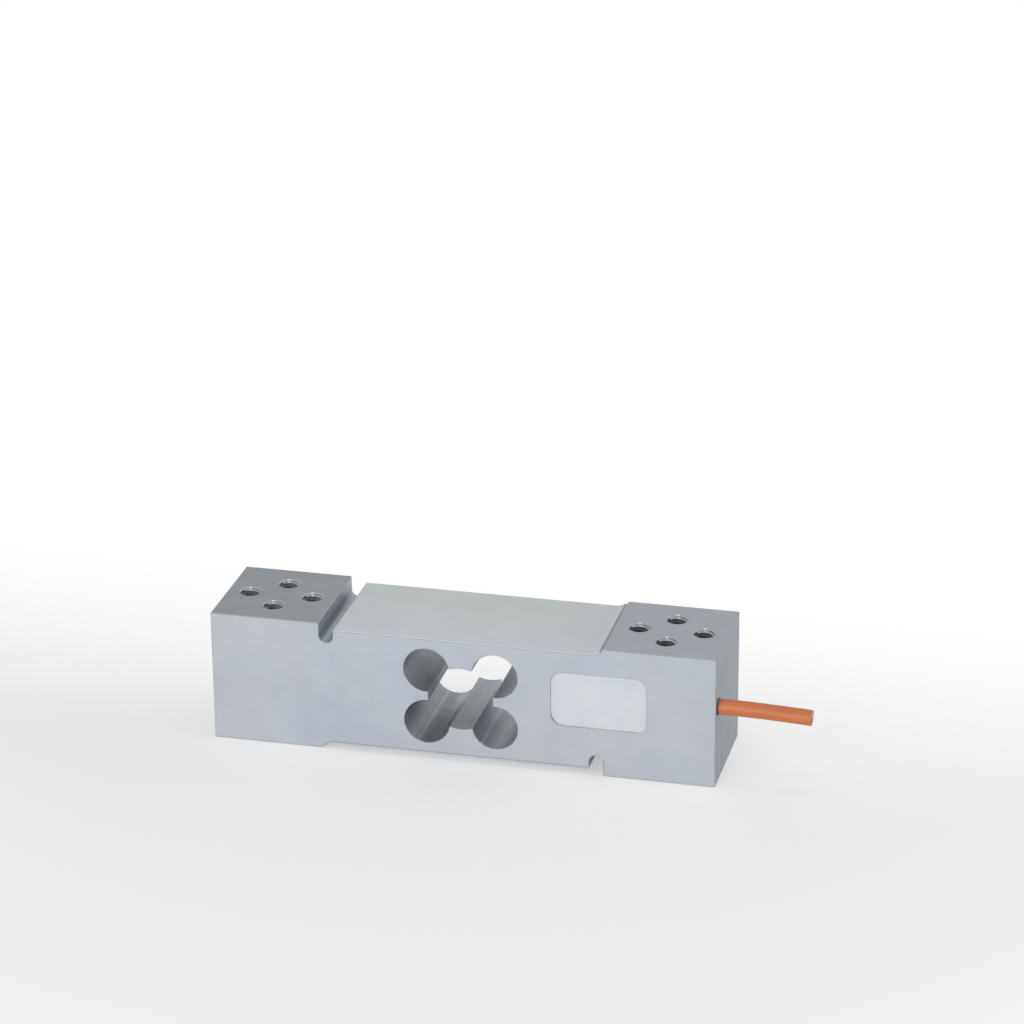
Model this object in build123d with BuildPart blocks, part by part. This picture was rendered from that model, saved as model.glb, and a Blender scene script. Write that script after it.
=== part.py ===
from build123d import *
import os
from math import acos, cos, degrees, radians, sin, tan

# Single point load cell: an aluminium beam with a four-lobe cut-out, strain
# gauges in a recess on the top and on the underside, a filled pocket with the
# bridge board in the front face, and a cable from one end face.
# X runs along the beam towards the cable, the front face is at -Y, Z is up,
# and the origin is the middle of the beam's underside.

# Beam
beam_length = 150.0
beam_width = 35.0
beam_height = 40.0
edge_break = 0.25

# Mounting pads, relief slots and gauge recesses
pad_length = 32.8
slot_width = 4.1
slot_depth = 6.2
recess_depth = 2.1
ramp_radius = 4.7

# Four-lobe cut-out
lobe_radius = 6.75
lobe_spacing_x = 20.3
lobe_spacing_z = 16.3
centre_radius = 9.65
nose_round = 0.3
window_break = 0.15

# Holes drilled right through, four to a pad, and tapped from both faces
thread_diameter = 6.0
thread_depth = 12.0
tap_drill_diameter = 5.0
mouth_diameter = 6.8
mouth_angle = 90.0
hole_spacing_x = 19.0
hole_spacing_y = 15.7

# Pocket for the bridge board, in the front face
pocket_length = 28.3
pocket_height = 16.8
pocket_depth = 9.0
pocket_radius = 3.6
pocket_end_wall = 20.0
pocket_rise = 3.2
sealant_edge_round = 0.25

# Cable, its bore and the ring that seals it
cable_diameter = 4.6
cable_inset = 3.8
cable_rise = 4.0
cable_entry = 2.0
cable_reach = 27.1
cable_droop = 0.85
first_bend_reach = 4.0
second_bend_reach = 16.0
second_bend_droop = 0.3
bore_clearance = 0.2
seal_wall = 0.4
seal_length = 2.5
seal_sink = 0.1

# Inside the cable
jacket_wall = 0.45
shield_wall = 0.15
shield_tail = 0.5
filler_tail = 0.8
filler_diameter = 0.5
core_diameter = 1.3
core_offset = 0.67
copper_diameter = 0.6
bared_length = 0.9
core_straight = 1.0
core_bend_radius = 1.3

# Foil strain gauges
backing_length = 9.0
backing_width = 6.0
backing_thickness = 0.1
backing_shift = 1.4
backing_round = 0.4
foil_thickness = 0.06
grid_length = 4.6
grid_pitch = 0.5
grid_lines = 8
grid_line_width = 0.25
grid_loop_length = 0.4
tab_gap = 0.5
tab_length = 1.4
tab_width = 1.2
ribbon_width = 0.5
ribbon_thickness = 0.05
ribbon_overlap = 1.2

# Solder terminals
terminal_distance = 11.35
terminal_length = 5.0
terminal_width = 11.0
terminal_pitch = 2.8
terminal_count = 4
terminal_pad_length = 3.8
terminal_pad_width = 1.8

# Gauge covers
cover_thickness = 0.45
cover_slot_margin = 0.5
cover_ramp_margin = 1.4
cover_edge_round = 0.3

# Wires from the terminals to the board, and their passages
passage_diameter = 2.6
passage_from_pocket_end = 6.3
passage_inset = 4.5
wire_diameter = 0.2
wire_spacing = 0.5
wire_bend_radius = 0.6

# Bridge board and what is on it
board_length = 20.0
board_height = 11.0
board_thickness = 1.0
board_pad_thickness = 0.8
board_pad_margin = 0.75
board_copper = 0.06
wire_landing_inset = 1.0
wire_landing_step = 1.0
wire_landing_size = 0.8
core_landing_inset = 2.6
core_landing_pitch = 2.4
core_landing_size = 1.7
resistor_length = 3.2
resistor_width = 1.6
resistor_thickness = 0.7
resistor_cap_length = 0.5
resistor_cap_step = 0.05
resistor_pitch = 3.0

# Places worked out from the sizes
half_length = beam_length / 2
half_width = beam_width / 2
half_height = beam_height / 2
pad_edge = half_length - pad_length
pad_middle = half_length - pad_length / 2
floor_height = half_height - recess_depth
ramp_angle = degrees(acos(1 - recess_depth / ramp_radius))
ramp_start = pad_edge - ramp_radius * sin(radians(ramp_angle))
lobe_x = lobe_spacing_x / 2
pocket_right = half_length - pocket_end_wall
pocket_middle_x = pocket_right - pocket_length / 2
pocket_middle_z = half_height + pocket_rise
pocket_floor = pocket_depth - half_width
passage_x = pocket_right - pocket_length + passage_from_pocket_end
passage_y = passage_inset - half_width
terminal_x = lobe_x + terminal_distance
foil_level = backing_thickness + foil_thickness
cable_y = cable_inset - half_width
cable_z = half_height + cable_rise
cable_start = pocket_right - cable_entry
shield_outer = cable_diameter / 2 - jacket_wall
board_face = pocket_floor - board_pad_thickness - board_thickness
landing_face = board_face - board_copper
board_right = pocket_middle_x + board_length / 2
board_foot = pocket_middle_z - board_height / 2
core_landing_x = board_right - core_landing_inset

# Planes that the pieces are drawn on. The two profiles look at the beam from
# the front, the lower one turned half round about the beam's cross axis.
middle = (0, 0, half_height)
top_profile = Plane(origin=middle, x_dir=(1, 0, 0), z_dir=(0, -1, 0))
bottom_profile = Plane(origin=middle, x_dir=(-1, 0, 0), z_dir=(0, -1, 0))
level_middle = Plane(origin=middle, z_dir=(0, 0, 1))
cross_axis = Axis(middle, (0, 1, 0))
recess_floor = level_middle.offset(floor_height)
front = Plane(origin=(0, -half_width, 0), x_dir=(1, 0, 0), z_dir=(0, -1, 0))
end_face = Plane(origin=(half_length, cable_y, cable_z), x_dir=(0, 1, 0), z_dir=(1, 0, 0))
cable_section = Plane(origin=(cable_start, cable_y, cable_z), x_dir=(0, 1, 0), z_dir=(1, 0, 0))

os.makedirs("parts", exist_ok=True)


def save(piece, name):
    """Labels a finished piece and writes it under its own name."""
    piece.part.label = name
    export_step(piece.part, f"parts/{name}.step")


def ramp_point(radius, angle):
    """A point on the run-out at the end of a recess, seen from the front."""
    return (
        ramp_start + radius * sin(radians(angle)),
        floor_height + ramp_radius - radius * cos(radians(angle)),
    )


def relief_outline():
    """What is milled away between the pads of one side: the slot, the recess and its run-out."""
    foot = half_height - slot_depth + slot_width / 2
    clear = half_height + recess_depth
    with BuildSketch() as relief:
        with BuildLine():
            Line((-pad_edge, clear), (-pad_edge, foot))
            CenterArc((slot_width / 2 - pad_edge, foot), slot_width / 2, 180, 180)
            Line((slot_width - pad_edge, foot), (slot_width - pad_edge, floor_height))
            Line((slot_width - pad_edge, floor_height), ramp_point(ramp_radius, 0))
            CenterArc(ramp_point(0, 0), ramp_radius, -90, ramp_angle)
            Line(ramp_point(ramp_radius, ramp_angle), (pad_edge, clear))
            Line((pad_edge, clear), (-pad_edge, clear))
        make_face()
    return relief.sketch


def window_outline():
    """The four-lobe cut-out: four round lobes joined by a round opening."""
    with BuildSketch() as window:
        Circle(centre_radius)
        with GridLocations(lobe_spacing_x, lobe_spacing_z, 2, 2):
            Circle(lobe_radius)
        fillet(window.vertices(), nose_round)
    return window.sketch


# Beam body
relief = relief_outline()
window = window_outline()
hole_places = [
    (hole_spacing_x / 2, 0), (-hole_spacing_x / 2, 0), (0, hole_spacing_y / 2), (0, -hole_spacing_y / 2),
]
with BuildPart() as beam_body:
    with BuildSketch(top_profile):
        Rectangle(beam_length, beam_height)
    extrude(amount=half_width, both=True)
    for profile in (top_profile, bottom_profile):
        with BuildSketch(profile):
            add(relief)
        extrude(amount=half_width, both=True, mode=Mode.SUBTRACT)
    sides = beam_body.faces().sort_by(Axis.Y)
    levels = beam_body.edges().filter_by(Axis.Y).group_by(Axis.Z)
    slot_lips = levels[1].sort_by(Axis.X)[-1:] + levels[-2].sort_by(Axis.X)[:1]
    chamfer(sides[0].edges() + sides[-1].edges() + levels[0] + levels[-1] + slot_lips, edge_break)
    with BuildSketch(top_profile):
        add(window)
    extrude(amount=half_width, both=True, mode=Mode.SUBTRACT)
    window_edges = beam_body.edges(Select.LAST).group_by(Axis.Y)
    chamfer(window_edges[0] + window_edges[-1], window_break)
    with BuildSketch(front):
        with Locations((pocket_middle_x, pocket_middle_z)):
            RectangleRounded(pocket_length, pocket_height, pocket_radius)
    extrude(amount=-pocket_depth, mode=Mode.SUBTRACT)
    with Locations(end_face):
        CounterBoreHole(
            cable_diameter / 2 + bore_clearance,
            cable_diameter / 2 + seal_wall,
            seal_length,
            pocket_end_wall + pocket_radius,
        )
    for level, outward in ((beam_height, 1), (0, -1)):
        with Locations(Plane(origin=(passage_x, passage_y, level), z_dir=(0, 0, outward))):
            Hole(passage_diameter / 2, half_height)
        for end in (-1, 1):
            with Locations(Plane(origin=(end * pad_middle, 0, level), z_dir=(0, 0, outward))):
                with Locations(*hole_places):
                    CounterSinkHole(thread_diameter / 2, mouth_diameter / 2, thread_depth, mouth_angle)
    for end in (-1, 1):
        with Locations(Plane(origin=(end * pad_middle, 0, beam_height))):
            with Locations(*hole_places):
                Hole(tap_drill_diameter / 2, beam_height)
save(beam_body, "beam_body")


def strain_gauge(centre_x, terminal_y):
    """A foil gauge on the recess floor, its two ribbon leads laid out to the terminals."""
    outer_line = (grid_lines - 1) * grid_pitch
    grid_end = centre_x + grid_length / 2
    tab_middle = grid_end + tab_gap + tab_length / 2
    tab_y = terminal_pitch / 2
    with BuildPart() as gauge:
        with BuildSketch(recess_floor):
            with Locations((centre_x + backing_shift, 0)):
                RectangleRounded(backing_length, backing_width, backing_round)
        extrude(amount=backing_thickness)
        with BuildSketch(recess_floor.offset(backing_thickness)):
            with Locations((centre_x, 0)):
                with GridLocations(0, grid_pitch, 1, grid_lines):
                    Rectangle(grid_length, grid_line_width)
            with Locations((centre_x - grid_length / 2, 0)):
                with GridLocations(0, 2 * grid_pitch, 1, grid_lines // 2):
                    Rectangle(grid_loop_length, grid_pitch + grid_line_width)
            with Locations((grid_end, 0)):
                with GridLocations(0, 2 * grid_pitch, 1, grid_lines // 2 - 1):
                    Rectangle(grid_loop_length, grid_pitch + grid_line_width)
            with Locations((grid_end + tab_gap / 2, 0)):
                with GridLocations(0, outer_line, 1, 2):
                    Rectangle(2 * tab_gap, grid_line_width)
            with Locations((tab_middle, 0)):
                with GridLocations(0, 2 * tab_y, 1, 2):
                    Rectangle(tab_length, tab_width)
        extrude(amount=foil_thickness)
        with BuildSketch(recess_floor.offset(foil_level)):
            for side in (-1, 1):
                jog_start = tab_middle + tab_length / 2
                jog_end = jog_start + terminal_y - tab_y
                with BuildLine():
                    Line((tab_middle, side * tab_y), (jog_start, side * tab_y))
                    if jog_end > jog_start:
                        Line((jog_start, side * tab_y), (jog_end, side * terminal_y))
                    Line((jog_end, side * terminal_y), (ribbon_end, side * terminal_y))
                trace(line_width=ribbon_width)
        extrude(amount=ribbon_thickness)
    return gauge


def mirrored(piece):
    """The same piece on the underside."""
    with BuildPart() as twin:
        mirror(piece.part, about=level_middle)
    return twin


# Strain gauges, one over each lobe
ribbon_end = terminal_x - terminal_pad_length / 2 + ribbon_overlap
gauge_top_left = strain_gauge(-lobe_x, terminal_pitch * 3 / 2)
gauge_top_right = strain_gauge(lobe_x, terminal_pitch / 2)
gauge_bottom_left = mirrored(gauge_top_left)
gauge_bottom_right = mirrored(gauge_top_right)
save(gauge_top_left, "gauge_top_left")
save(gauge_top_right, "gauge_top_right")
save(gauge_bottom_left, "gauge_bottom_left")
save(gauge_bottom_right, "gauge_bottom_right")

# Solder terminals
with BuildPart() as terminals_top:
    with BuildSketch(recess_floor):
        with Locations((terminal_x, 0)):
            Rectangle(terminal_length, terminal_width)
    extrude(amount=backing_thickness)
    with BuildSketch(recess_floor.offset(backing_thickness)):
        with Locations((terminal_x, 0)):
            with GridLocations(0, terminal_pitch, 1, terminal_count):
                Rectangle(terminal_pad_length, terminal_pad_width)
    extrude(amount=foil_thickness)
terminals_bottom = mirrored(terminals_top)
save(terminals_top, "terminals_top")
save(terminals_bottom, "terminals_bottom")


def bridge_wire(index, landing_z):
    """An enamelled wire over the recess floor, down the passage and on to the board."""
    terminal_y = (index - (terminal_count - 1) / 2) * terminal_pitch
    wire_x = wire_place(index)
    level = beam_height - recess_depth + foil_level + wire_diameter / 2
    with BuildPart() as wire:
        with BuildLine() as route:
            FilletPolyline(
                (ribbon_end + ribbon_overlap / 2, terminal_y, level),
                (wire_x, terminal_y, level),
                (wire_x, passage_y, level),
                (wire_x, passage_y, landing_z),
                (wire_x, landing_face, landing_z),
                radius=wire_bend_radius,
            )
        with BuildSketch(Plane(route.wire() @ 0, z_dir=route.wire() % 0)):
            Circle(wire_diameter / 2)
        sweep()
    return wire


def wire_place(index):
    """How far along the beam a wire comes through its passage."""
    return passage_x + (index - (terminal_count - 1) / 2) * wire_spacing


def landing_inset(index):
    """How far in from the edge of the board a wire lands."""
    return wire_landing_inset + index * wire_landing_step


# Bridge wires
wires_top = []
wires_bottom = []
for index in range(terminal_count):
    wires_top.append(bridge_wire(index, board_foot + board_height - landing_inset(index)))
    wires_bottom.append(mirrored(bridge_wire(index, beam_height - board_foot - landing_inset(index))))
    save(wires_top[index], f"bridge_wire_top_{index + 1}")
    save(wires_bottom[index], f"bridge_wire_bottom_{index + 1}")

# Gauge covers
cover_end_angle = ramp_angle - degrees(cover_ramp_margin / ramp_radius)
cover_radius = ramp_radius - cover_thickness
cover_start = slot_width - pad_edge + cover_slot_margin
with BuildPart() as cover_blank:
    with BuildSketch(top_profile):
        with BuildLine():
            Line((cover_start, floor_height), ramp_point(ramp_radius, 0))
            CenterArc(ramp_point(0, 0), ramp_radius, -90, cover_end_angle)
            Line(ramp_point(ramp_radius, cover_end_angle), ramp_point(cover_radius, cover_end_angle))
            CenterArc(ramp_point(0, 0), cover_radius, -90, cover_end_angle)
            Line(ramp_point(cover_radius, 0), (cover_start, floor_height + cover_thickness))
            Line((cover_start, floor_height + cover_thickness), (cover_start, floor_height))
        make_face()
    extrude(amount=half_width, both=True)
    for side in (cover_blank.faces().sort_by(Axis.Y)[0], cover_blank.faces().sort_by(Axis.Y)[-1]):
        bend = side.edges().filter_by(GeomType.CIRCLE).sort_by(SortBy.RADIUS)[0]
        straight = side.edges().filter_by(Axis.X).sort_by(Axis.Z)[-1]
        fillet([bend, straight], cover_edge_round)
with BuildPart() as top_gauge_cover:
    add(cover_blank.part)
    for piece in (gauge_top_left, gauge_top_right, terminals_top, *wires_top):
        add(piece.part, mode=Mode.SUBTRACT)
with BuildPart() as bottom_gauge_cover:
    add(cover_blank.part.rotate(cross_axis, 180))
    for piece in (gauge_bottom_left, gauge_bottom_right, terminals_bottom, *wires_bottom):
        add(piece.part, mode=Mode.SUBTRACT)
save(top_gauge_cover, "top_gauge_cover")
save(bottom_gauge_cover, "bottom_gauge_cover")

# Board and the pad it is stuck down with
pocket_back = front.offset(-pocket_depth)
with BuildPart() as board_pad:
    with BuildSketch(pocket_back):
        with Locations((pocket_middle_x, pocket_middle_z)):
            Rectangle(board_length - 2 * board_pad_margin, board_height - 2 * board_pad_margin)
    extrude(amount=board_pad_thickness)
save(board_pad, "board_pad")
core_landings = [(index - 1.5) * core_landing_pitch + cable_z for index in range(4)]
with BuildPart() as bridge_board:
    with BuildSketch(pocket_back.offset(board_pad_thickness)):
        with Locations((pocket_middle_x, pocket_middle_z)):
            Rectangle(board_length, board_height)
    extrude(amount=board_thickness)
    with BuildSketch(pocket_back.offset(board_pad_thickness + board_thickness)):
        for index in range(terminal_count):
            landing = landing_inset(index)
            with Locations(
                (wire_place(index), board_foot + landing),
                (wire_place(index), board_foot + board_height - landing),
            ):
                Rectangle(wire_landing_size, wire_landing_size)
        for height in core_landings:
            with Locations((core_landing_x, height)):
                Rectangle(core_landing_size, core_landing_size)
    extrude(amount=board_copper)
save(bridge_board, "bridge_board")


def resistor(height):
    """A chip resistor on the board, with its two end caps."""
    board_top = pocket_back.offset(board_pad_thickness + board_thickness)
    with BuildPart() as chip:
        with BuildSketch(board_top):
            with Locations((pocket_middle_x, height)):
                Rectangle(resistor_length - resistor_cap_step, resistor_width - 2 * resistor_cap_step)
        extrude(amount=resistor_thickness - resistor_cap_step)
        with BuildSketch(board_top):
            with Locations((pocket_middle_x, height)):
                with GridLocations(resistor_length - resistor_cap_length, 0, 2, 1):
                    Rectangle(resistor_cap_length, resistor_width)
        extrude(amount=resistor_thickness)
    return chip


# Chip resistors
temperature_resistor = resistor(pocket_middle_z + resistor_pitch)
span_resistor = resistor(pocket_middle_z)
zero_resistor = resistor(pocket_middle_z - resistor_pitch)
save(temperature_resistor, "temperature_resistor")
save(span_resistor, "span_resistor")
save(zero_resistor, "zero_resistor")

# Cable
cable_bends = [
    (half_length + first_bend_reach, 0),
    (half_length + second_bend_reach, -second_bend_droop),
    (half_length + cable_reach, -cable_droop),
]


def free_radii(points):
    """The largest arcs that the corners of a cord's route leave room for."""
    radii = []
    for before, corner, after in zip(points, points[1:], points[2:]):
        first = Vector(*corner) - Vector(*before)
        second = Vector(*after) - Vector(*corner)
        turn = radians(first.get_angle(second))
        radii.append(0.45 * min(first.length, second.length) / tan(turn / 2))
    return radii


def cable_route(start, side, rise):
    """The points of a line along the cable, beside its middle by side and rise."""
    points = [(start, cable_y + side, cable_z + rise)]
    for reach, drop in cable_bends:
        points.append((reach, cable_y + side, cable_z + rise + drop))
    return points


def cable_layer(start, outer_radius, inner_radius):
    """A round layer of the cable from a start inside the pocket to the cut end."""
    points = cable_route(start, 0, 0)
    with BuildPart() as layer:
        with BuildLine():
            FilletPolyline(*points, radius=free_radii(points))
        with BuildSketch(Plane(origin=points[0], x_dir=(0, 1, 0), z_dir=(1, 0, 0))):
            Circle(outer_radius)
            if inner_radius > 0:
                Circle(inner_radius, mode=Mode.SUBTRACT)
        sweep()
    return layer


def core_strand(side, rise, landing_z, stop, outer_radius, inner_radius):
    """A core's insulation or copper, from its landing on the board to the cut end."""
    cable_points = cable_route(core_bend_x, side, rise)
    points = [(core_landing_x, stop, landing_z), (core_landing_x, cable_y + side, landing_z), *cable_points]
    radii = [core_bend_radius, core_bend_radius, *free_radii(cable_points)]
    with BuildPart() as strand:
        with BuildLine():
            FilletPolyline(*points, radius=radii)
        with BuildSketch(Plane(origin=points[0], x_dir=(1, 0, 0), z_dir=(0, -1, 0))):
            Circle(outer_radius)
            if inner_radius > 0:
                Circle(inner_radius, mode=Mode.SUBTRACT)
        sweep()
    return strand


core_bend_x = cable_start - core_straight
cable_jacket = cable_layer(cable_start, cable_diameter / 2, shield_outer)
cable_shield = cable_layer(cable_start - shield_tail, shield_outer, shield_outer - shield_wall)
cable_filler = cable_layer(cable_start - filler_tail, filler_diameter / 2, 0)
save(cable_jacket, "cable_jacket")
save(cable_shield, "cable_shield")
save(cable_filler, "cable_filler")
print("radii of the cable's bends, mm:", free_radii(cable_route(cable_start, 0, 0)))

core_places = (
    ("black", -core_offset, -core_offset, core_landings[0]),
    ("green", core_offset, -core_offset, core_landings[1]),
    ("white", core_offset, core_offset, core_landings[2]),
    ("red", -core_offset, core_offset, core_landings[3]),
)
cores = []
coppers = []
for colour, side, rise, landing_z in core_places:
    bared = landing_face - bared_length
    cores.append(core_strand(side, rise, landing_z, bared, core_diameter / 2, copper_diameter / 2))
    coppers.append(core_strand(side, rise, landing_z, landing_face, copper_diameter / 2, 0))
    save(cores[-1], f"core_{colour}")
    save(coppers[-1], f"copper_{colour}")

# Ring that seals the cable in the end face
with BuildPart() as exit_seal:
    with BuildSketch(end_face.offset(-seal_length)):
        Circle(cable_diameter / 2 + seal_wall)
        Circle(cable_diameter / 2, mode=Mode.SUBTRACT)
    extrude(amount=seal_length - seal_sink)
save(exit_seal, "exit_seal")

# Sealant that fills the pocket round everything in it
in_pocket = [board_pad, bridge_board, temperature_resistor, span_resistor, zero_resistor]
in_pocket += wires_top + wires_bottom + cores + coppers + [cable_shield, cable_filler]
with BuildPart() as pocket_sealant:
    with BuildSketch(front):
        with Locations((pocket_middle_x, pocket_middle_z)):
            RectangleRounded(pocket_length, pocket_height, pocket_radius)
    extrude(amount=-pocket_depth)
    fillet(pocket_sealant.faces().sort_by(Axis.Y)[0].edges(), sealant_edge_round)
    with BuildSketch(cable_section):
        Circle(cable_diameter / 2)
    extrude(amount=cable_entry, mode=Mode.SUBTRACT)
    for piece in in_pocket:
        add(piece.part, mode=Mode.SUBTRACT)
save(pocket_sealant, "pocket_sealant")
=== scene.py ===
"""Looks of a single point load cell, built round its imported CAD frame.

X runs along the beam towards the cable, the front face is at -Y, Z is up, and the origin is the
middle of the underside. Sizes of the piece are given in millimetres, and MM carries them into
metres. The camera, the lamps and the floor are placed in metres.
"""

import math

import bmesh
import bpy
from mathutils import Matrix, Vector


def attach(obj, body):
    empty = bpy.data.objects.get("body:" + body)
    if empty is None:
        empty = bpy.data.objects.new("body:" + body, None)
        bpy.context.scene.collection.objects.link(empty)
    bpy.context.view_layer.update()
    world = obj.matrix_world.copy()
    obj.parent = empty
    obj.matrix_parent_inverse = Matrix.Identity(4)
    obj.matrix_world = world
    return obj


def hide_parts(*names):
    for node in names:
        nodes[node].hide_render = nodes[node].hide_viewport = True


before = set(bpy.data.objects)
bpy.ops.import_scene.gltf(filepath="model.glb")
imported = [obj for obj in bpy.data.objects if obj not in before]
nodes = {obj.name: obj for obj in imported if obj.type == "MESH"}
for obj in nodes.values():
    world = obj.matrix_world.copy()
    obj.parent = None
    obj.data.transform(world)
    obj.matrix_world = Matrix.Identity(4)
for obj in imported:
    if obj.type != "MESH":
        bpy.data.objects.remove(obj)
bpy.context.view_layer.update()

MM = 0.001

# Camera, as the photograph sees the beam
aim_point = (0.0, 0.0, 0.019)
camera_azimuth = 14.102
camera_elevation = 22.507
camera_roll = -0.529
camera_distance = 1.114538
camera_across = -0.010685
camera_along = -0.048477
camera_lens = 133.77
camera_nearest = 0.01
camera_farthest = 20.0
sensor_width = 36.0

# Floor and background
white = (1.0, 1.0, 1.0, 1.0)
world_level = 0.50
floor_half = 4.0
floor_drop = 0.1
floor_least_white = 0.30
floor_fade_out = (0.08, 0.42)
floor_fade_back = (-0.06, 0.12)

# Lamps: name, place, side and watts
lamps = (
    ("front_softbox", (-0.30, -1.15, 0.34), 0.9, 10.0),
    ("end_softbox", (1.10, 0.10, 0.30), 0.7, 4.0),
    ("front_glint_lamp", (0.09, -0.36, 0.92), 0.12, 0.24),
    ("roof_glint_lamp", (0.00, 0.03, 0.97), 0.12, 0.24),
    ("back_glint_lamp", (0.41, 0.50, 0.75), 0.10, 0.13),
)

# Beam
beam_length = 150.0
beam_width = 35.0
beam_height = 40.0

# Bare rims beside the gauge coat on the top, from within the slot to past the ramp
recess_depth = 2.1
rim_start = -38.4
rim_end = 42.5
rim_fade = 0.15

# Box round the tapped holes of one end, by distance from the beam's centre
holes_start = 44.0
holes_end = 73.5
holes_side = 13.0
holes_fade = 0.5

# Tapped holes, four in a cross round the middle of each pad
pad_middle = 58.6
hole_reach_x = 9.5
hole_reach_y = 7.85
thread_radius = 3.0
crest_radius = 2.5
thread_pitch = 1.0
thread_start = 0.86
thread_end = 11.36
thread_first_angle = 150.0
thread_steps = 28

# Thread ridge: its root as a share of the thread's radius, its foot and crest as shares of the pitch
ridge_root = 1.008
ridge_foot = 0.90
ridge_crest = 0.24

# Cable
cable_y = -13.7
cable_z = 24.0
cable_route = (
    (53.0, cable_y, cable_z),
    (79.0, cable_y, cable_z),
    (91.0, cable_y, 23.7),
    (102.1, cable_y, 23.15),
)
cable_diameter = 4.6
cable_sides = 48
jacket_bore = 1.85
cut_edge_round = 0.12

# Waves round the sealant ring where the cable leaves: height, count and shift
bead_waves = ((1.0, 3, 0.6), (0.6, 7, 1.9))
bead_sides = 64

# Section of that ring: x, radius and how much of the waves it has
bead_profile = (
    (72.60, 2.31, 0.00),
    (72.60, 2.68, 0.00),
    (74.86, 2.69, 0.00),
    (75.00, 2.67, 0.03),
    (75.12, 2.60, 0.03),
    (75.23, 2.49, 0.03),
    (75.31, 2.38, 0.02),
    (75.36, 2.31, 0.00),
    (75.32, 2.27, 0.00),
)

# Silicone over the wiring pocket
sealant_left = 26.75
sealant_right = 55.02
sealant_bottom = 14.78
sealant_top = 31.52
sealant_middle_x = (sealant_left + sealant_right) / 2
sealant_middle_z = (sealant_bottom + sealant_top) / 2
sealant_spacing = 0.5
sealant_corner_steps = 10

# Corners of the silicone: x, z, radius, and the angle that its arc starts from
sealant_corners = (
    (sealant_left, sealant_bottom, 4.9, 180.0),
    (sealant_right, sealant_bottom, 2.4, 270.0),
    (sealant_right, sealant_top, 3.5, 0.0),
    (sealant_left, sealant_top, 3.9, 90.0),
)

# Waves along the silicone's edge: height, count and shift
sealant_waves = ((0.035, 5, 0.8), (0.025, 11, 2.1), (0.02, 23, 0.0))

# Rings of the silicone's rolled edge: how far in from the outline, how far behind the front face
edge_rings = ((-0.35, 1.2), (-0.35, 0.28), (0.0, 0.22), (0.06, 0.12), (0.18, 0.02))

# Rings of its skin: how far in from the outline
skin_rings = (0.5, 1.6, 2.8, 4.2, 5.6, 7.0, 7.9)

# Lie of the skin: proud of the face at its rim, sunk and rippled past a slope of this width
skin_proud = 0.012
skin_sag = 0.045
skin_ripple = 0.03
skin_slope = 2.4

# Angles past which an edge stays crisp
thread_crisp = 35.0
ring_crisp = 50.0
silicone_crisp = 60.0


def metres(point):
    """A point given in millimetres, in metres."""
    return Vector(point) * MM


# Camera


def add_camera():
    """The camera at the photograph's viewing angle."""
    azimuth = math.radians(camera_azimuth)
    elevation = math.radians(camera_elevation)
    roll = math.radians(camera_roll)
    ahead = Vector((
        -math.sin(azimuth) * math.cos(elevation),
        math.cos(azimuth) * math.cos(elevation),
        -math.sin(elevation),
    ))
    level_right = Vector((math.cos(azimuth), math.sin(azimuth), 0.0))
    level_up = level_right.cross(ahead)
    right = level_right * math.cos(roll) + level_up * math.sin(roll)
    up = level_up * math.cos(roll) - level_right * math.sin(roll)
    eye = Vector(aim_point) - right * camera_across - up * camera_along - ahead * camera_distance
    data = bpy.data.cameras.new("camera")
    data.lens = camera_lens
    data.sensor_width = sensor_width
    data.clip_start = camera_nearest
    data.clip_end = camera_farthest
    camera = bpy.data.objects.new("camera", data)
    camera.matrix_world = Matrix((
        (right.x, up.x, -ahead.x, eye.x),
        (right.y, up.y, -ahead.y, eye.y),
        (right.z, up.z, -ahead.z, eye.z),
        (0.0, 0.0, 0.0, 1.0),
    ))
    bpy.context.scene.collection.objects.link(camera)
    bpy.context.scene.camera = camera


add_camera()


# Nodes


class NodeTree:
    """A tree of nodes, built node by node."""

    def __init__(self, tree):
        self.tree = tree

    def feed(self, socket, value):
        """A constant or another node's output, put into a socket."""
        if isinstance(value, bpy.types.NodeSocket):
            self.tree.links.new(value, socket)
        else:
            socket.default_value = value

    def add(self, kind, inputs=(), output=0, **settings):
        """A node with its settings and inputs, as the socket that it gives."""
        made = self.tree.nodes.new(kind)
        for key, value in settings.items():
            setattr(made, key, value)
        for key, value in dict(inputs).items():
            self.feed(made.inputs[key], value)
        return made.outputs[output]

    def maths(self, kind, first, second=0.0):
        return self.add("ShaderNodeMath", {0: first, 1: second}, operation=kind)

    def plus(self, first, second):
        return self.maths("ADD", first, second)

    def minus(self, first, second):
        return self.maths("SUBTRACT", first, second)

    def times(self, first, second):
        return self.maths("MULTIPLY", first, second)

    def over(self, first, second):
        return self.maths("DIVIDE", first, second)

    def greater(self, first, second):
        return self.maths("MAXIMUM", first, second)

    def size(self, value):
        """A value without its sign."""
        return self.maths("ABSOLUTE", value)

    def sign(self, value):
        return self.maths("SIGN", value)


# Finishes

# Range that noise mostly keeps to, and how squarely a flat face looks along its axis
usual_noise = (0.3, 0.7)
square_on = (0.80, 0.95)

# How far light goes under a soft surface
soft_reach = 1.2

# Stretches of noise, small along the way that it runs
unstretched = (1.0, 1.0, 1.0)
drawn_across_beam = (1.0, 0.010, 1.0)
drawn_along_cable = (0.2, 1.0, 1.0)
turned_in_hole = (1.0, 1.0, 4.0)


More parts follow.
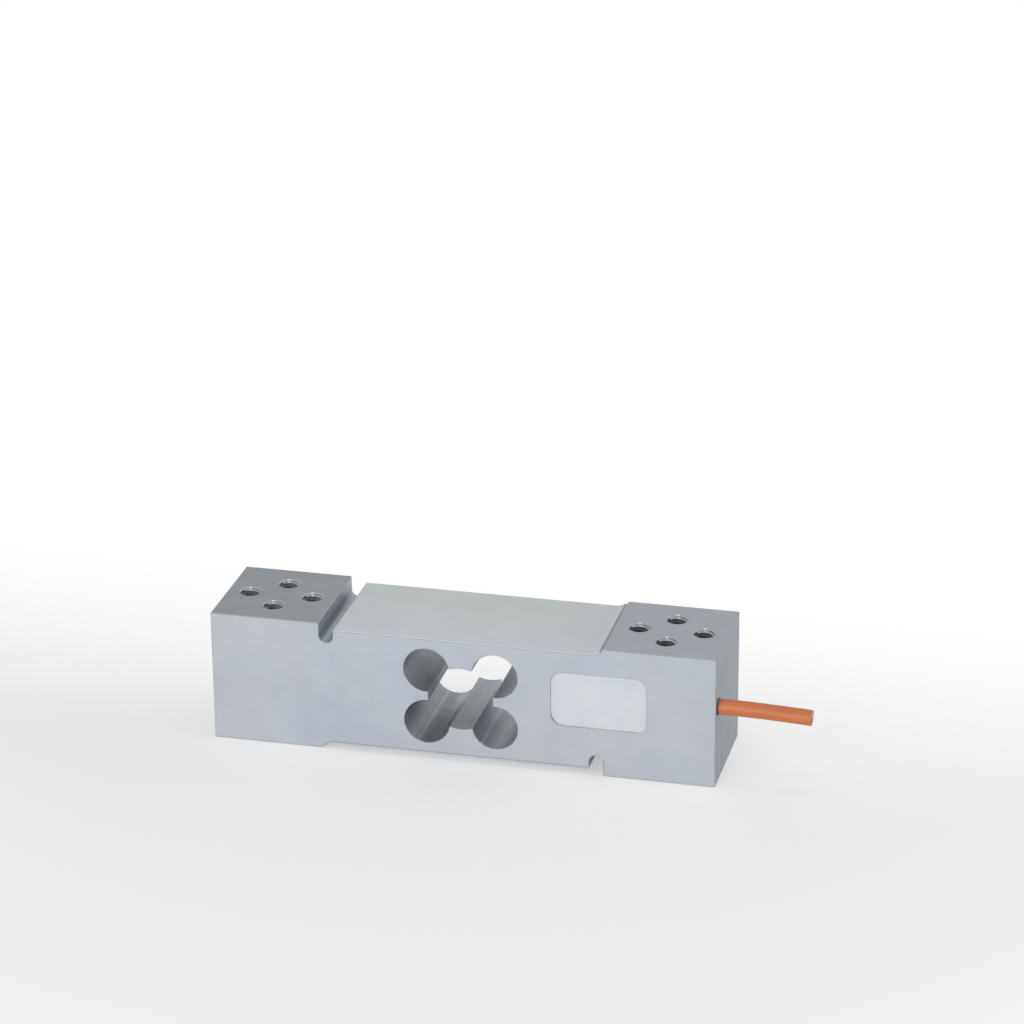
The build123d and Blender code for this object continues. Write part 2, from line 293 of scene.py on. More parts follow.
class Finish(NodeTree):
    """One procedural finish on Object coordinates, ending in a Principled surface.

    A mask is a value from 0 to 1. A level is near 1, and shades a colour.
    """

    def __init__(self, name, colour, roughness, metallic=0.0):
        self.material = bpy.data.materials.new(name)
        self.material.use_nodes = True
        super().__init__(self.material.node_tree)
        self.surface = self.tree.nodes["Principled BSDF"]
        self.set("Base Color", self.tint(colour))
        self.set("Roughness", roughness)
        self.set("Metallic", metallic)
        coordinates = self.tree.nodes.new("ShaderNodeTexCoord")
        self.place = coordinates.outputs["Object"]
        self.facing = coordinates.outputs["Normal"]

    def set(self, socket, value):
        """A constant or a made value on one of the surface's own sockets."""
        self.feed(self.surface.inputs[socket], value)

    def parts(self, vector):
        """The X, Y and Z of a vector."""
        split = self.add("ShaderNodeSeparateXYZ", {"Vector": vector}).node
        return split.outputs["X"], split.outputs["Y"], split.outputs["Z"]

    def between(self, value, low, high, start=0.0, end=1.0):
        """The value, carried smoothly from low..high to start..end."""
        inputs = {"Value": value, "From Min": low, "From Max": high, "To Min": start, "To Max": end}
        return self.add("ShaderNodeMapRange", inputs, "Result", interpolation_type="SMOOTHSTEP")

    def masked(self, mask, start, end):
        """The start value outside a mask, and the end value inside it."""
        return self.between(mask, 0.0, 1.0, start, end)

    def outside(self, mask):
        """The opposite of a mask."""
        return self.masked(mask, 1.0, 0.0)

    def within(self, value, low, high, fade):
        """A mask of a stretch, gone at its ends and full from a fade's width inside them."""
        half = (high - low) / 2
        from_middle = self.size(self.minus(value, (low + high) / 2))
        return self.between(from_middle, half, half - fade)

    def noise(self, scale, detail=3.0, rough=0.5, stretch=unstretched):
        """Cloudy noise from 0 to 1, in bumps to the metre; it runs long where its stretch is small."""
        stretched = self.add("ShaderNodeMapping", {"Vector": self.place, "Scale": stretch})
        inputs = {"Vector": stretched, "Scale": scale, "Detail": detail, "Roughness": rough}
        return self.add("ShaderNodeTexNoise", inputs, "Fac")

    def spread(self, noise, start=0.0, end=1.0):
        """Noise carried from its usual range to start..end."""
        return self.between(noise, *usual_noise, start, end)

    def tint(self, colour):
        return colour if isinstance(colour, bpy.types.NodeSocket) else (*colour, 1.0)

    def blend(self, mask, first, second):
        """The first colour outside a mask, and the second inside it."""
        inputs = {0: mask, 6: self.tint(first), 7: self.tint(second)}
        return self.add("ShaderNodeMix", inputs, 2, data_type="RGBA")

    def shade(self, colour, level):
        """A colour made lighter or darker by a level."""
        inputs = {"Color": self.tint(colour), "Value": level}
        return self.add("ShaderNodeHueSaturation", inputs, "Color")

    def bump(self, height, distance, strength, under=None):
        inputs = {"Height": height, "Distance": distance, "Strength": strength}
        if under is not None:
            inputs["Normal"] = under
        return self.add("ShaderNodeBump", inputs, "Normal")

    def let_light_in(self, weight, radius):
        """Some of the light goes a little way under the surface."""
        self.set("Subsurface Weight", weight)
        self.set("Subsurface Radius", radius)
        self.set("Subsurface Scale", soft_reach * MM)


# Finish of the beam


def depth_under_pads(made):
    """How deep a place lies under the nearer pads, those on the top or those underneath."""
    _, _, z = made.parts(made.place)
    from_middle = made.size(made.minus(z, beam_height / 2 * MM))
    return made.minus(beam_height / 2 * MM, from_middle)


def shaded_hole(made, colour, depth):
    """A colour down the tapped holes, with painted shade below their mouths: darker by the cable, paler
    far from it.
    """
    x, _, _ = made.parts(made.place)
    deep_painted_shade = made.between(x, -30.0 * MM, 30.0 * MM, 1.04, 0.72)
    return made.shade(colour, made.between(depth, 1.0 * MM, 1.6 * MM, 1.0, deep_painted_shade))


def drawn_walls(made):
    """The streaks that run through the cut-outs from front to back, and the colour of all cut walls."""
    wall_tone = (0.364, 0.395, 0.430)
    x, _, z = made.parts(made.place)
    fine_streaks = made.noise(420.0, detail=2.0, stretch=drawn_across_beam)
    broad_streaks = made.noise(120.0, detail=1.5, rough=0.4, stretch=drawn_across_beam)
    streaks = made.plus(made.times(fine_streaks, 0.3), made.times(broad_streaks, 0.7))
    colour = made.shade(wall_tone, made.spread(streaks, 0.88, 1.12))

    # Painted light making the walls lighter past the lobes, and painted highlights on a few streaks low
    # down
    past_lobes = made.between(made.size(x), 28.0 * MM, 32.0 * MM)
    colour = made.shade(colour, made.masked(past_lobes, 1.0, 1.04))
    low_down = made.between(z, 19.0 * MM, 17.0 * MM)
    low_painted_highlights = made.times(fine_streaks, low_down)
    colour = made.shade(colour, made.between(low_painted_highlights, 0.59, 0.66, 1.0, 1.25))

    # Painted shade in the lobes: stretch along the beam, its fade, and the levels of its upper and lower
    # lobe
    lobe_shades = ((-20.0, -8.0, 3.0, 0.87, 0.81), (6.0, 19.0, 2.0, 0.88, 0.96))
    for start, end, fade, upper_level, lower_level in lobe_shades:
        in_lobes = made.within(x, start * MM, end * MM, fade * MM)
        level = made.between(z, 21.0 * MM, 19.0 * MM, upper_level, lower_level)
        colour = made.blend(in_lobes, colour, made.shade(colour, level))
    return streaks, colour


def bare_rims(made, colour, side, depth):
    """The colour, with bare metal beside the gauge coats: darker by the slot, paler by the ramp."""
    rim_by_slot = (0.240, 0.262, 0.286)
    rim_by_ramp = (0.310, 0.340, 0.368)
    x, y, z = made.parts(made.place)

    # The underside is the top turned half round, so there it is read backwards
    along = made.times(x, made.sign(made.minus(z, beam_height / 2 * MM)))
    in_recess = made.times(
        made.between(depth, (recess_depth + 0.50) * MM, (recess_depth + 0.35) * MM),
        made.within(along, rim_start * MM, rim_end * MM, rim_fade * MM),
    )
    at_flank = made.between(made.size(y), (beam_width / 2 - 0.35) * MM, (beam_width / 2 - 0.25) * MM)
    rim = made.blend(made.between(along, -1.0 * MM, 1.0 * MM), rim_by_slot, rim_by_ramp)
    return made.blend(in_recess, colour, made.blend(at_flank, rim, side))


def anodised_aluminium():
    """Satin anodised beam: pale sides, pads and ends darker by painted shade, drawn streaks in the
    cut-outs.
    """
    blue_side = (0.426, 0.459, 0.512)
    grey_side = (0.441, 0.470, 0.498)
    # Painted shade: the pads are darker than the sides, and the left pad darker than the right
    left_pad_painted_shade = (0.252, 0.278, 0.300)
    right_pad_painted_shade = (0.330, 0.360, 0.392)
    # Painted shade: the end faces are darker than the sides
    end_tone = (0.282, 0.308, 0.341)
    # Painted shade on the pads' upright edge breaks, against their lit reflection
    edge_break_painted_shade = (0.290, 0.316, 0.342)
    mouth_tone = (0.34, 0.37, 0.40)
    made = Finish("anodised_aluminium", blue_side, 0.5, 0.8)
    x, y, z = made.parts(made.place)
    from_centre = made.size(x)
    depth = depth_under_pads(made)

    # Masks of the pads, the ends and the sides, which are flats that lie on the beam's box
    facing_x, facing_y, facing_z = (
        made.between(made.size(part), *square_on) for part in made.parts(made.facing)
    )
    at_pad = made.between(depth, 0.5 * MM, 0.2 * MM)
    at_end = made.between(from_centre, (beam_length / 2 - 0.6) * MM, (beam_length / 2 - 0.2) * MM)
    at_side = made.between(made.size(y), (beam_width / 2 - 0.3) * MM, (beam_width / 2 - 0.1) * MM)
    on_pad = made.times(facing_z, at_pad)
    on_end = made.times(facing_x, at_end)
    on_side = made.times(facing_y, at_side)
    upright = made.outside(facing_z)

    # Masks of the tapped holes
    in_holes = made.times(
        made.within(from_centre, holes_start * MM, holes_end * MM, holes_fade * MM),
        made.within(y, -holes_side * MM, holes_side * MM, holes_fade * MM),
    )
    bright_mouth = made.times(in_holes, made.between(depth, 1.1 * MM, 0.9 * MM))

    # Colours, from the cut walls outwards
    streaks, colour = drawn_walls(made)
    side = made.blend(made.between(made.noise(32.0, detail=2.0), 0.35, 0.65), blue_side, grey_side)
    pad = made.blend(made.between(x, -70.0 * MM, 70.0 * MM), left_pad_painted_shade, right_pad_painted_shade)
    # Painted shade on the end faces, darker towards their top
    end = made.shade(end_tone, made.between(z, 6.0 * MM, 34.0 * MM, 1.02, 0.955))
    # Painted shade on the upright edge breaks at the pads
    colour = made.blend(made.times(at_pad, upright), colour, edge_break_painted_shade)
    colour = bare_rims(made, colour, side, depth)
    colour = made.blend(bright_mouth, colour, mouth_tone)
    # Painted shade down the tapped holes
    colour = shaded_hole(made, colour, made.times(depth, in_holes))
    # Painted shade: the pads and the end faces take their darker tones here
    colour = made.blend(on_pad, colour, pad)
    colour = made.blend(on_end, colour, end)
    colour = made.blend(on_side, colour, side)
    drift = made.spread(made.noise(75.0, detail=2.0), 0.98, 1.02)
    made.set("Base Color", made.shade(colour, drift))

    # Satin everywhere but on the polished mouths, with streaks to feel between the pads
    satin = made.spread(made.noise(260.0), 0.46, 0.54)
    polish = made.masked(made.times(bright_mouth, upright), 1.0, 0.5)
    made.set("Roughness", made.times(satin, polish))
    between_pads = made.between(from_centre, 50.0 * MM, 49.0 * MM)
    in_cut_outs = made.times(between_pads, made.outside(on_side))
    drawn = made.bump(made.times(streaks, in_cut_outs), 0.06 * MM, 0.30)
    made.set("Normal", made.bump(made.noise(9000.0, rough=0.6), 0.006 * MM, 0.5, drawn))
    return made


def tapped_metal():
    """Bright cut threads near the mouth, with painted shade making them dark further down."""
    made = Finish("tapped_metal", (0.45, 0.48, 0.51), 0.26, 0.5)
    grain = made.noise(1500.0, detail=4.0, rough=0.55, stretch=turned_in_hole)
    colour = made.blend(made.spread(grain), (0.28, 0.30, 0.32), (0.35, 0.37, 0.40))
    made.set("Base Color", shaded_hole(made, colour, depth_under_pads(made)))
    made.set("Roughness", made.spread(grain, 0.22, 0.32))
    made.set("Normal", made.bump(grain, 0.01 * MM, 0.5))
    return made


# Other finishes


def gauge_coat():
    """Pale satin coat over the gauges: a lighter front band, greenish behind, dull at its rolled edge,
    which is darkened by a dark seam line and painted shade.
    """
    front_tone = (0.568, 0.602, 0.634)
    back_tone = (0.550, 0.594, 0.580)
    end_tone = (0.540, 0.576, 0.620)
    edge_tone = (0.500, 0.540, 0.585)
    made = Finish("gauge_coat", (0.50, 0.53, 0.54), 0.45)
    x, y, _ = made.parts(made.place)
    _, facing_y, _ = made.parts(made.facing)
    sideways = made.size(facing_y)

    # Colour by place
    colour = made.blend(made.between(y, -14.0 * MM, 12.0 * MM), front_tone, back_tone)
    near_ends = made.between(made.size(x), 12.0 * MM, 40.0 * MM)
    colour = made.blend(made.times(near_ends, 0.5), colour, end_tone)
    colour = made.blend(made.between(sideways, 0.50, 0.66), colour, edge_tone)

    # Levels: darker on the rolled edge, a dark seam line and painted shade against its lit highlight;
    # lighter in the front band
    rolled = made.times(made.between(sideways, 0.10, 0.35), made.between(sideways, 0.97, 0.85))
    edge_level = made.masked(rolled, 1.0, 0.80)
    band_level = made.between(y, -16.0 * MM, -13.5 * MM, 1.02, 1.0)
    drift = made.spread(made.noise(45.0, detail=2.0), 0.985, 1.015)
    made.set("Base Color", made.shade(colour, made.times(drift, made.times(edge_level, band_level))))

    # Satin, duller where the edge is round
    round_edge = made.times(made.between(sideways, 0.10, 0.25), made.between(sideways, 0.97, 0.90))
    satin = made.spread(made.noise(300.0), 0.42, 0.52)
    made.set("Roughness", made.plus(satin, made.masked(round_edge, 0.0, 0.36)))
    ripple = made.bump(made.noise(120.0, detail=2.0), 0.08 * MM, 0.2)
    made.set("Normal", made.bump(made.noise(6000.0, detail=2.0), 0.004 * MM, 0.4, ripple))
    return made


def silicone():
    """Translucent white sealant with a soft skin, a little darker towards its edge."""
    blue_tone = (0.553, 0.595, 0.661)
    white_tone = (0.598, 0.620, 0.645)
    reach_x = 14.2
    reach_z = 8.4
    made = Finish("silicone", (0.56, 0.59, 0.64), 0.42)
    x, _, z = made.parts(made.place)
    out_x = made.size(made.over(made.minus(x, sealant_middle_x * MM), reach_x * MM))
    out_z = made.size(made.over(made.minus(z, sealant_middle_z * MM), reach_z * MM))
    edge_level = made.between(made.greater(out_x, out_z), 0.70, 1.0, 1.0, 0.955)
    colour = made.blend(made.spread(made.noise(90.0, detail=2.0)), blue_tone, white_tone)
    made.set("Base Color", made.shade(colour, edge_level))
    made.set("Roughness", made.spread(made.noise(500.0), 0.34, 0.46))
    made.let_light_in(0.25, (1.0, 1.0, 1.0))
    made.set("Normal", made.bump(made.noise(260.0), 0.12 * MM, 0.35))
    return made


def plain_finish(
        name, first, second, roughness, metallic=0.0, grain=900.0, depth=0.01, stretch=unstretched):
    """A finish whose colour drifts between two tones, with a bump of that grain, its depth in mm."""
    made = Finish(name, first, roughness, metallic)
    clouds = made.noise(grain, detail=4.0, rough=0.55, stretch=stretch)
    made.set("Base Color", made.blend(made.spread(clouds), first, second))
    made.set("Roughness", made.spread(clouds, roughness - 0.05, roughness + 0.05))
    made.set("Normal", made.bump(clouds, depth * MM, 0.5))
    return made


def cable_sheath():
    """Orange cable sheath, a little soft to the light."""
    made = plain_finish(
        "orange_cable_sheath", (0.500, 0.138, 0.041), (0.550, 0.161, 0.051), 0.41,
        grain=260.0, depth=0.03, stretch=drawn_along_cable)
    made.set("Specular IOR Level", 0.42)
    made.let_light_in(0.35, (1.0, 0.35, 0.15))
    return made


beam_finish = anodised_aluminium()
tapped_finish = tapped_metal()
coat_finish = gauge_coat()
silicone_finish = silicone()
jacket_finish = cable_sheath()
# Near-black sealant: real sealant, and painted shade where the cable leaves the beam
seal_and_shade_finish = plain_finish(
    "dark_exit_sealant", (0.014, 0.010, 0.008), (0.028, 0.019, 0.014), 0.5, grain=2200.0, depth=0.03)
shield_finish = plain_finish(
    "tinned_braid", (0.30, 0.29, 0.28), (0.44, 0.43, 0.42), 0.4, 0.9, grain=4200.0, depth=0.06)
filler_finish = plain_finish(
    "cotton_filler", (0.40, 0.36, 0.30), (0.50, 0.46, 0.39), 0.85, grain=5200.0, depth=0.05)
copper_finish = plain_finish(
    "bare_copper", (0.72, 0.33, 0.17), (0.80, 0.40, 0.22), 0.3, 0.95, grain=3800.0, depth=0.02)
foil_finish = plain_finish(
    "gauge_foil", (0.55, 0.42, 0.20), (0.62, 0.48, 0.25), 0.35, 0.6, grain=1600.0)
pad_finish = plain_finish(
    "grey_foam_tape", (0.20, 0.20, 0.20), (0.27, 0.27, 0.27), 0.85, grain=3000.0, depth=0.06)
board_finish = plain_finish(
    "green_board", (0.015, 0.12, 0.05), (0.025, 0.16, 0.07), 0.4, grain=1200.0)
resistor_finish = plain_finish(
    "chip_resistor", (0.02, 0.02, 0.022), (0.05, 0.05, 0.052), 0.45, grain=2500.0, depth=0.02)
core_finishes = {
    "red": plain_finish("red_core", (0.48, 0.02, 0.02), (0.56, 0.03, 0.03), 0.38),
    "black": plain_finish("black_core", (0.012, 0.012, 0.013), (0.024, 0.024, 0.025), 0.38),
    "green": plain_finish("green_core", (0.02, 0.24, 0.06), (0.03, 0.30, 0.08), 0.38),
    "white": plain_finish("white_core", (0.72, 0.72, 0.70), (0.80, 0.80, 0.78), 0.38),
}


# CAD nodes


def dress(finish, *names):
    """A better material in every material slot of these CAD nodes."""
    for name in names:
        for slot in nodes[name].material_slots:
            slot.material = finish.material


def named(start):
    """The CAD nodes whose names begin so."""
    return [name for name in nodes if name.startswith(start)]


dress(beam_finish, "beam_body")
dress(coat_finish, "top_gauge_cover", "bottom_gauge_cover")
dress(foil_finish, *named("gauge_"), *named("terminals_"))
dress(copper_finish, *named("bridge_wire_"), *named("copper_"))
dress(pad_finish, "board_pad")
dress(board_finish, "bridge_board")
dress(resistor_finish, "temperature_resistor", "span_resistor", "zero_resistor")
dress(shield_finish, "cable_shield")
dress(filler_finish, "cable_filler")
for core_colour, core_finish in core_finishes.items():
    dress(core_finish, f"core_{core_colour}")


# Building of meshes


def mesh_object(name, mesh):
    """A new object that holds a finished mesh, at the origin."""
    made = bpy.data.objects.new(name, mesh)
    bpy.context.scene.collection.objects.link(made)
    return made


def smooth_by_angle(mesh, degrees):
    """Smooth shading, with edges sharper than an angle kept crisp."""
    mesh.polygons.foreach_set("use_smooth", [True] * len(mesh.polygons))
    mesh.set_sharp_from_angle(angle=math.radians(degrees))


def swell(waves, turn):
    """The sum of some waves at one turn round a loop."""
    return sum(height * math.sin(count * turn + shift) for height, count, shift in waves)


def ring(mesh, middle, across, up, radius, sides, uneven=0.0):
    """A loop of points round a middle, turning from across to up, with its share of the waves."""
    loop = []
    for side in range(sides):
        turn = 2 * math.pi * side / sides
        reach = radius + uneven * swell(bead_waves, turn)
        loop.append(mesh.verts.new(middle + (across * math.cos(turn) + up * math.sin(turn)) * reach))
    return loop


def join_loops(mesh, loops):
    """A band of faces between each loop of points and the next."""
    for first, second in zip(loops, loops[1:]):
        for index in range(len(first)):
            after = (index + 1) % len(first)
            mesh.faces.new((first[index], first[after], second[after], second[index]))


def finished_piece(name, mesh, finish, crisp_angle):
    """The object of a mesh that has all its faces, which are made to point outwards."""
    bmesh.ops.recalc_face_normals(mesh, faces=mesh.faces)
    data = bpy.data.meshes.new(name)
    mesh.to_mesh(data)
    mesh.free()
    data.materials.append(finish.material)
    smooth_by_angle(data, crisp_angle)
    return mesh_object(name, data)


# Cable


def route_line(name, points_mm):
    """Points read from one smooth spline along a route."""
    curve = bpy.data.curves.new(name, "CURVE")
    curve.dimensions = "3D"
    spline = curve.splines.new("NURBS")
    spline.points.add(len(points_mm) - 1)
    for point, place in zip(spline.points, points_mm):
        point.co = (*metres(place), 1.0)
    spline.order_u = 3
    spline.use_endpoint_u = True
    spline.resolution_u = 24
    holder = bpy.data.objects.new(name, curve)
    line = bpy.data.meshes.new_from_object(holder)
    points = [vertex.co.copy() for vertex in line.vertices]
    bpy.data.objects.remove(holder)
    bpy.data.meshes.remove(line)
    return points


def orange_sheath(points):
    """The hollow cable sheath along these points, with slightly rounded cut ends."""
    outer = cable_diameter / 2 * MM
    bore = jacket_bore * MM
    edge = cut_edge_round * MM
    last = len(points) - 1
    mesh = bmesh.new()

    def ring_at(station, radius, shift=0.0):
        ahead = (points[min(station + 1, last)] - points[max(station - 1, 0)]).normalized()
        across = Vector((0.0, 1.0, 0.0)).cross(ahead).normalized()
        middle = points[station] + ahead * shift
        return ring(mesh, middle, across, ahead.cross(across), radius, cable_sides)

    outside = [ring_at(0, outer - edge), ring_at(0, outer, edge)]
    outside += [ring_at(station, outer) for station in range(1, last)]
    outside += [ring_at(last, outer, -edge), ring_at(last, outer - edge)]
    inside = [ring_at(station, bore) for station in range(last, -1, -1)]
    join_loops(mesh, outside + inside + outside[:1])
    return finished_piece("orange_sheath", mesh, jacket_finish, ring_crisp)


cable_line = route_line("cable_line", cable_route)
jacket = orange_sheath(cable_line)
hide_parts("cable_jacket")
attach(jacket, "root")


# Dark sealant where the cable leaves, near-black so that it is also painted shade at the exit


def exit_sealant_and_shade_bead():
    """A closed ring of near-black sealant, turned about the cable's axis: sealant, and painted shade where
    the cable leaves.
    """
    across = Vector((0.0, 1.0, 0.0))
    up = Vector((0.0, 0.0, 1.0))
    mesh = bmesh.new()
    loops = []
    for x, radius, uneven in bead_profile:
        middle = metres((x, cable_y, cable_z))
        loops.append(ring(mesh, middle, across, up, radius * MM, bead_sides, uneven * MM))
    join_loops(mesh, loops + loops[:1])
    return finished_piece("exit_sealant_and_shade_bead", mesh, seal_and_shade_finish, ring_crisp)


bead = exit_sealant_and_shade_bead()
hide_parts("exit_seal")
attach(bead, "root")


# Threads of the tapped holes


class MeshTree(NodeTree):
    """A Geometry Nodes tree with named inputs, which grows a mesh."""

    def __init__(self, name):
        super().__init__(bpy.data.node_groups.new(name, "GeometryNodeTree"))
        self.tree.is_modifier = True
        self.keys = {}

    def ask(self, name, kind, value=None):
        """A named input, with the value that it starts from."""
        made = self.tree.interface.new_socket(name=name, in_out="INPUT", socket_type=kind)
        if value is not None:
            made.default_value = value
        self.keys[name] = made.identifier

    def give(self, name, geometry, material):
        """The tree's end: real geometry with its material."""
        self.tree.interface.new_socket(name=name, in_out="OUTPUT", socket_type="NodeSocketGeometry")
        real = self.add("GeometryNodeRealizeInstances", {"Geometry": geometry})
        finished = self.add("GeometryNodeSetMaterial", {"Geometry": real, "Material": material})
        self.feed(self.tree.nodes.new("NodeGroupOutput").inputs[name], finished)

    def grown_on(self, name, holder_mesh, values):
        """A plain mesh object, grown by this tree from a holder mesh with these input values."""
        holder = mesh_object(name + "_holder", holder_mesh)
        modifier = holder.modifiers.new(name, "NODES")
        modifier.node_group = self.tree
        for key, value in values.items():
            modifier[self.keys[key]] = value
        bpy.context.view_layer.update()
        ready = holder.evaluated_get(bpy.context.evaluated_depsgraph_get())
        grown = bpy.data.meshes.new_from_object(ready)
        holder.modifiers.remove(modifier)
        bpy.data.objects.remove(holder)
        grown.name = name
        return mesh_object(name, grown)


def thread_tree(finish):
    """Right-hand thread ridges, one helix going in from each mouth on the top or bottom of the beam."""
    made = MeshTree("tapped_thread")
    made.ask("Mouths", "NodeSocketGeometry")
    for name in ("Pitch", "Thread radius", "Crest radius", "Start", "End", "First angle", "Middle height"):
        made.ask(name, "NodeSocketFloat", MM)
    made.ask("Steps per turn", "NodeSocketInt", thread_steps)
    given = made.tree.nodes.new("NodeGroupInput").outputs

    # A helix midway between root and crest, with the ridge's section drawn along it
    root = made.times(given["Thread radius"], ridge_root)
    middle = made.times(made.plus(root, given["Crest radius"]), 0.5)
    descent = made.minus(given["Start"], given["End"])
    helix = made.add("GeometryNodeCurveSpiral", {
        "Resolution": given["Steps per turn"],
        "Rotations": made.over(made.size(descent), given["Pitch"]),
        "Start Radius": middle,
        "End Radius": middle,
        "Height": descent,
    })
    upright = made.add("GeometryNodeSetCurveNormal", {"Curve": helix}, mode="Z_UP")
    section = made.add("GeometryNodeCurvePrimitiveQuadrilateral", {
        "Height": made.minus(root, given["Crest radius"]),
        "Bottom Width": made.times(given["Pitch"], ridge_foot),
        "Top Width": made.times(given["Pitch"], ridge_crest),
        "Offset": 0.0,
    }, mode="TRAPEZOID")
    inward = made.add("GeometryNodeTransform", {
        "Geometry": section, "Rotation": (0.0, 0.0, -math.pi / 2),
    })
    coil = made.add("GeometryNodeCurveToMesh", {
        "Curve": upright, "Profile Curve": inward, "Fill Caps": True,
    })
    drop = made.add("ShaderNodeCombineXYZ", {"Z": made.times(given["Start"], -1.0)})
    first_turn = made.add("ShaderNodeCombineXYZ", {"Z": given["First angle"]})
    sunk = made.add("GeometryNodeTransform", {
        "Geometry": coil, "Translation": drop, "Rotation": first_turn,
    })

    # One at each mouth, upside down underneath the beam
    height = made.add("ShaderNodeSeparateXYZ", {"Vector": made.add("GeometryNodeInputPosition")}, "Z")
    side = made.sign(made.minus(height, given["Middle height"]))
    outward = made.add("ShaderNodeCombineXYZ", {"Z": side})
    turn = made.add("FunctionNodeAlignRotationToVector", {"Vector": outward}, axis="Z")
    placed = made.add("GeometryNodeInstanceOnPoints", {
        "Points": given["Mouths"], "Instance": sunk, "Rotation": turn,
    })
    made.give("Threads", placed, finish.material)
    return made


def hole_mouths():
    """A mesh with one point at the mouth of each tapped hole."""
    places = []
    for level in (0.0, beam_height):
        for middle in (-pad_middle, pad_middle):
            places += [metres((middle + step, 0.0, level)) for step in (-hole_reach_x, hole_reach_x)]
            places += [metres((middle, step, level)) for step in (-hole_reach_y, hole_reach_y)]
    mesh = bpy.data.meshes.new("hole_mouths")
    mesh.from_pydata(places, [], [])
    return mesh


threads = thread_tree(tapped_finish).grown_on("tapped_threads", hole_mouths(), {
    "Pitch": thread_pitch * MM,
    "Thread radius": thread_radius * MM,
    "Crest radius": crest_radius * MM,
    "Start": thread_start * MM,
    "End": thread_end * MM,
    "First angle": math.radians(thread_first_angle),
    "Middle height": beam_height / 2 * MM,
    "Steps per turn": thread_steps,
})
smooth_by_angle(threads.data, thread_crisp)
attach(threads, "root")


# Silicone over the wiring pocket


def silicone_outline():
    """The silicone's outline on the front face, as (x, z) in mm, anticlockwise from the bottom left."""
    points = []
    for x, z, radius, start in sealant_corners:
        middle_x = x + radius if x == sealant_left else x - radius
        middle_z = z + radius if z == sealant_bottom else z - radius
        for step in range(sealant_corner_steps + 1):
            turn = math.radians(start + 90.0 * step / sealant_corner_steps)
            points.append((middle_x + radius * math.cos(turn), middle_z + radius * math.sin(turn)))
    return points


def evened(points, spacing):
    """A closed outline resampled at even spacing."""
    lengths = [math.dist(a, b) for a, b in zip(points, points[1:] + points[:1])]
    count = round(sum(lengths) / spacing)
    step = sum(lengths) / count
    result = []
    walked = 0.0
    want = 0.0
    for index, length in enumerate(lengths):
        a, b = points[index], points[(index + 1) % len(points)]
        while want < walked + length and len(result) < count:
            share = (want - walked) / length
            result.append((a[0] + (b[0] - a[0]) * share, a[1] + (b[1] - a[1]) * share))
            want += step
        walked += length
    return result


def waved(outline):
    """The silicone's outline, with small waves in and out along it."""
    result = []
    for index, (x, z) in enumerate(outline):
        turn = 2 * math.pi * index / len(outline)
        height = swell(sealant_waves, turn)
        away = Vector((x - sealant_middle_x, z - sealant_middle_z)).normalized()
        result.append((x + away.x * height, z + away.y * height))
    return result


def skin_depth(x, z, inset):
    """How far the skin lies behind the front face: proud at its rim, sunk and rippled further in."""
    across = math.sin(0.55 * x + 0.4)
    upwards = math.sin(0.7 * z + 1.0)
    ripple = skin_ripple * across * upwards
    slope = min(1.0, (inset - skin_rings[0]) / skin_slope)
    return slope * (ripple + skin_sag) - skin_proud


def silicone_patch():
    """The silicone's front: a soft skin level with the face, a rolled wavy edge, and closed behind."""
    outline = waved(evened(silicone_outline(), sealant_spacing))
    half_x = sealant_right - sealant_middle_x
    half_z = sealant_top - sealant_middle_z
    mesh = bmesh.new()
    loops = []
    for inset, behind in [*edge_rings, *((inset, None) for inset in skin_rings)]:
        loop = []
        for outline_x, outline_z in outline:
            x = sealant_middle_x + (outline_x - sealant_middle_x) * (1.0 - inset / half_x)
            z = sealant_middle_z + (outline_z - sealant_middle_z) * (1.0 - inset / half_z)
            depth = skin_depth(x, z, inset) if behind is None else behind
            loop.append(mesh.verts.new(metres((x, depth - beam_width / 2, z))))
        loops.append(loop)
    join_loops(mesh, loops)
    mesh.faces.new(loops[0])
    mesh.faces.new(list(reversed(loops[-1])))
    return finished_piece("silicone_patch", mesh, silicone_finish, silicone_crisp)


patch = silicone_patch()
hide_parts("pocket_sealant")
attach(patch, "root")


# Floor, background and light


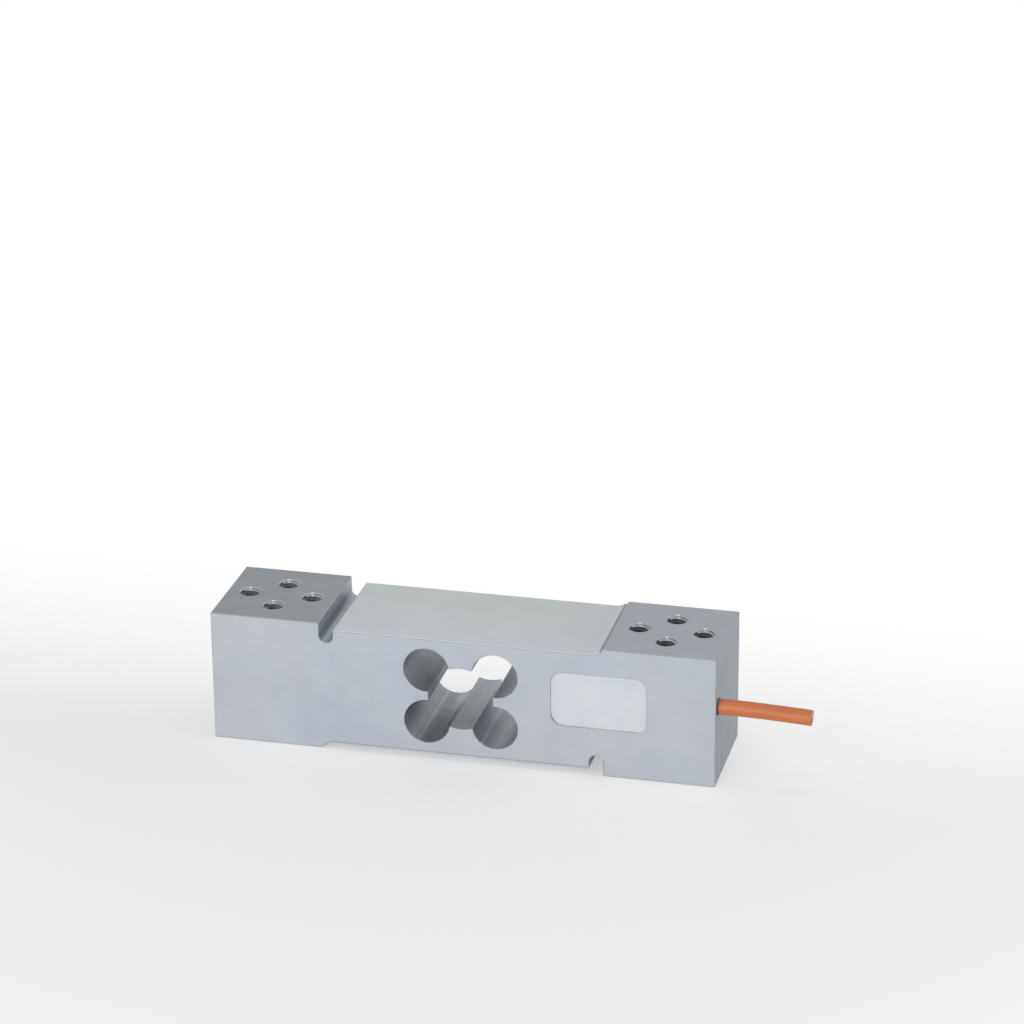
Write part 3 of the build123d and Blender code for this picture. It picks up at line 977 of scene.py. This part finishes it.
def pale_floor():
    """A plain pale floor, which the camera and mirrors see fade to white further out and further back."""
    made = Finish("pale_floor", (0.90, 0.90, 0.90), 0.9)
    made.set("Specular IOR Level", 0.0)
    _, back, _ = made.parts(made.place)
    out = made.add("ShaderNodeVectorMath", {0: made.place}, "Value", operation="LENGTH")
    rays = made.tree.nodes.new("ShaderNodeLightPath").outputs
    seen = made.greater(rays["Is Camera Ray"], rays["Is Glossy Ray"])
    whiteness = made.greater(
        made.between(out, *floor_fade_out, floor_least_white, 1.0),
        made.between(back, *floor_fade_back, floor_least_white, 1.0),
    )
    whitened = made.add("ShaderNodeMixShader", {
        0: made.times(whiteness, seen),
        1: made.surface.outputs[0],
        2: made.add("ShaderNodeEmission", {"Color": white, "Strength": 1.0}),
    })
    made.feed(made.tree.nodes["Material Output"].inputs["Surface"], whitened)
    return made


def add_floor():
    """The floor, just under the beam."""
    level = -floor_drop * MM
    corners = [
        (-floor_half, -floor_half, level),
        (floor_half, -floor_half, level),
        (floor_half, floor_half, level),
        (-floor_half, floor_half, level),
    ]
    mesh = bpy.data.meshes.new("floor")
    mesh.from_pydata(corners, [], [(0, 1, 2, 3)])
    mesh.materials.append(pale_floor().material)
    mesh_object("floor", mesh)


def add_world():
    """White wherever it is seen or mirrored, and a plain level as light."""
    world = bpy.data.worlds.new("studio")
    bpy.context.scene.world = world
    world.use_nodes = True
    made = NodeTree(world.node_tree)
    lit = made.tree.nodes["Background"]
    made.feed(lit.inputs["Color"], white)
    made.feed(lit.inputs["Strength"], world_level)
    rays = made.tree.nodes.new("ShaderNodeLightPath").outputs
    seen = made.greater(rays["Is Camera Ray"], rays["Is Glossy Ray"])
    mixed = made.add("ShaderNodeMixShader", {
        0: made.greater(seen, rays["Is Transmission Ray"]),
        1: lit.outputs[0],
        2: made.add("ShaderNodeBackground", {"Color": white, "Strength": 1.0}),
    })
    made.feed(made.tree.nodes["World Output"].inputs["Surface"], mixed)


def add_lamp(name, place, size, watts):
    """A soft square lamp that faces the beam."""
    data = bpy.data.lights.new(name, "AREA")
    data.shape = "SQUARE"
    data.size = size
    data.energy = watts
    lamp = bpy.data.objects.new(name, data)
    lamp.location = place
    lamp.rotation_mode = "QUATERNION"
    lamp.rotation_quaternion = (Vector(aim_point) - Vector(place)).to_track_quat("-Z", "Y")
    bpy.context.scene.collection.objects.link(lamp)


add_floor()
add_world()
for lamp_values in lamps:
    add_lamp(*lamp_values)

scene = bpy.context.scene
scene.view_settings.view_transform = "Standard"
